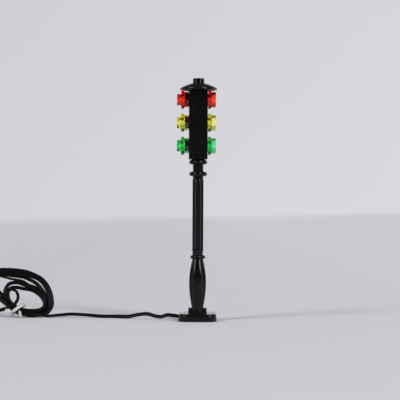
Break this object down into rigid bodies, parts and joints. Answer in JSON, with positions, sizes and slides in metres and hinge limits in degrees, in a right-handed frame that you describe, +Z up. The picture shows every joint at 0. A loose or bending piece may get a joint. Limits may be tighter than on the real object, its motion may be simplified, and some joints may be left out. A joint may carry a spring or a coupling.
{
  "type": "miniature traffic light",
  "caption": "Toy-scale traffic light: black stacked bricks with clear red, yellow and green lenses on both sides, a dish roof, a fluted lamp post and a coiled lighting lead.",
  "frame": {"origin": "centre of the base's underside, on the post's axis", "axes": "+Z up the post; +X towards the reversed lenses, so the lead leaves towards -X; -Y is the front face of the picture's view"},
  "size_m": [0.1218, 0.0244, 0.101],
  "materials": {
    "black_plastic": "high gloss moulded ABS",
    "clear_red": "clear red polycarbonate",
    "clear_yellow": "clear yellow polycarbonate",
    "clear_green": "clear green polycarbonate",
    "circuit_board": "solder mask on glass epoxy",
    "led_chip": "phosphor resin",
    "resistor_body": "black glaze",
    "lead_sheath": "soft satin PVC",
    "clear_glue": "translucent sleeve",
    "white_tie": "white plastic-coated wire",
    "white_connector": "natural nylon",
    "tinned_contact": "tin plate"
  },
  "bodies": {
    "post": {"lamp_post": "black_plastic", "riser_lead": "lead_sheath", "strain_relief": "clear_glue", "cord_run": "lead_sheath", "cord_coil": "lead_sheath", "cord_tail": "lead_sheath", "twist_tie": "white_tie", "plug_housing": "white_connector", "plug_contact_a": "tinned_contact", "plug_contact_b": "tinned_contact"},
    "lower_section": {"brick_lower": "black_plastic", "stud_pin_lower": "black_plastic", "led_board_lower": "circuit_board", "led_left_lower": "led_chip", "led_right_lower": "led_chip", "resistor_lower": "resistor_body", "link_lead_lower": "lead_sheath"},
    "middle_section": {"brick_middle": "black_plastic", "stud_pin_middle": "black_plastic", "led_board_middle": "circuit_board", "led_left_middle": "led_chip", "led_right_middle": "led_chip", "resistor_middle": "resistor_body", "link_lead_middle": "lead_sheath"},
    "upper_section": {"brick_upper": "black_plastic", "stud_pin_upper": "black_plastic", "led_board_upper": "circuit_board", "led_left_upper": "led_chip", "led_right_upper": "led_chip", "resistor_upper": "resistor_body", "link_lead_upper": "lead_sheath"},
    "left_lens_lower": {"lens_left_lower": "clear_green"},
    "right_lens_lower": {"lens_right_lower": "clear_green"},
    "left_lens_middle": {"lens_left_middle": "clear_yellow"},
    "right_lens_middle": {"lens_right_middle": "clear_yellow"},
    "left_lens_upper": {"lens_left_upper": "clear_red"},
    "right_lens_upper": {"lens_right_upper": "clear_red"},
    "cap": {"cap_dish": "black_plastic"}
  },
  "joints": [
    {"name": "head_turn", "type": "hinge", "parent": "post", "child": "lower_section", "pos_m": [0, 0, 0.0672], "axis": [0, 0, 1], "range_deg": [-180, 180]},
    {"name": "middle_section_turn", "type": "hinge", "parent": "lower_section", "child": "middle_section", "pos_m": [0, 0, 0.0768], "axis": [0, 0, 1], "range_deg": [-90, 90]},
    {"name": "upper_section_turn", "type": "hinge", "parent": "middle_section", "child": "upper_section", "pos_m": [0, 0, 0.0864], "axis": [0, 0, 1], "range_deg": [-90, 90]},
    {"name": "cap_turn", "type": "hinge", "parent": "upper_section", "child": "cap", "pos_m": [0, 0, 0.096], "axis": [0, 0, 1], "continuous": true},
    {"name": "left_lens_lower_turn", "type": "hinge", "parent": "lower_section", "child": "left_lens_lower", "pos_m": [-0.0039, 0, 0.0729], "axis": [1, 0, 0], "continuous": true},
    {"name": "right_lens_lower_turn", "type": "hinge", "parent": "lower_section", "child": "right_lens_lower", "pos_m": [0.0039, 0, 0.0729], "axis": [1, 0, 0], "continuous": true},
    {"name": "left_lens_middle_turn", "type": "hinge", "parent": "middle_section", "child": "left_lens_middle", "pos_m": [-0.0039, 0, 0.0825], "axis": [1, 0, 0], "continuous": true},
    {"name": "right_lens_middle_turn", "type": "hinge", "parent": "middle_section", "child": "right_lens_middle", "pos_m": [0.0039, 0, 0.0825], "axis": [1, 0, 0], "continuous": true},
    {"name": "left_lens_upper_turn", "type": "hinge", "parent": "upper_section", "child": "left_lens_upper", "pos_m": [-0.0039, 0, 0.0921], "axis": [1, 0, 0], "continuous": true},
    {"name": "right_lens_upper_turn", "type": "hinge", "parent": "upper_section", "child": "right_lens_upper", "pos_m": [0.0039, 0, 0.0921], "axis": [1, 0, 0], "continuous": true}
  ]
}
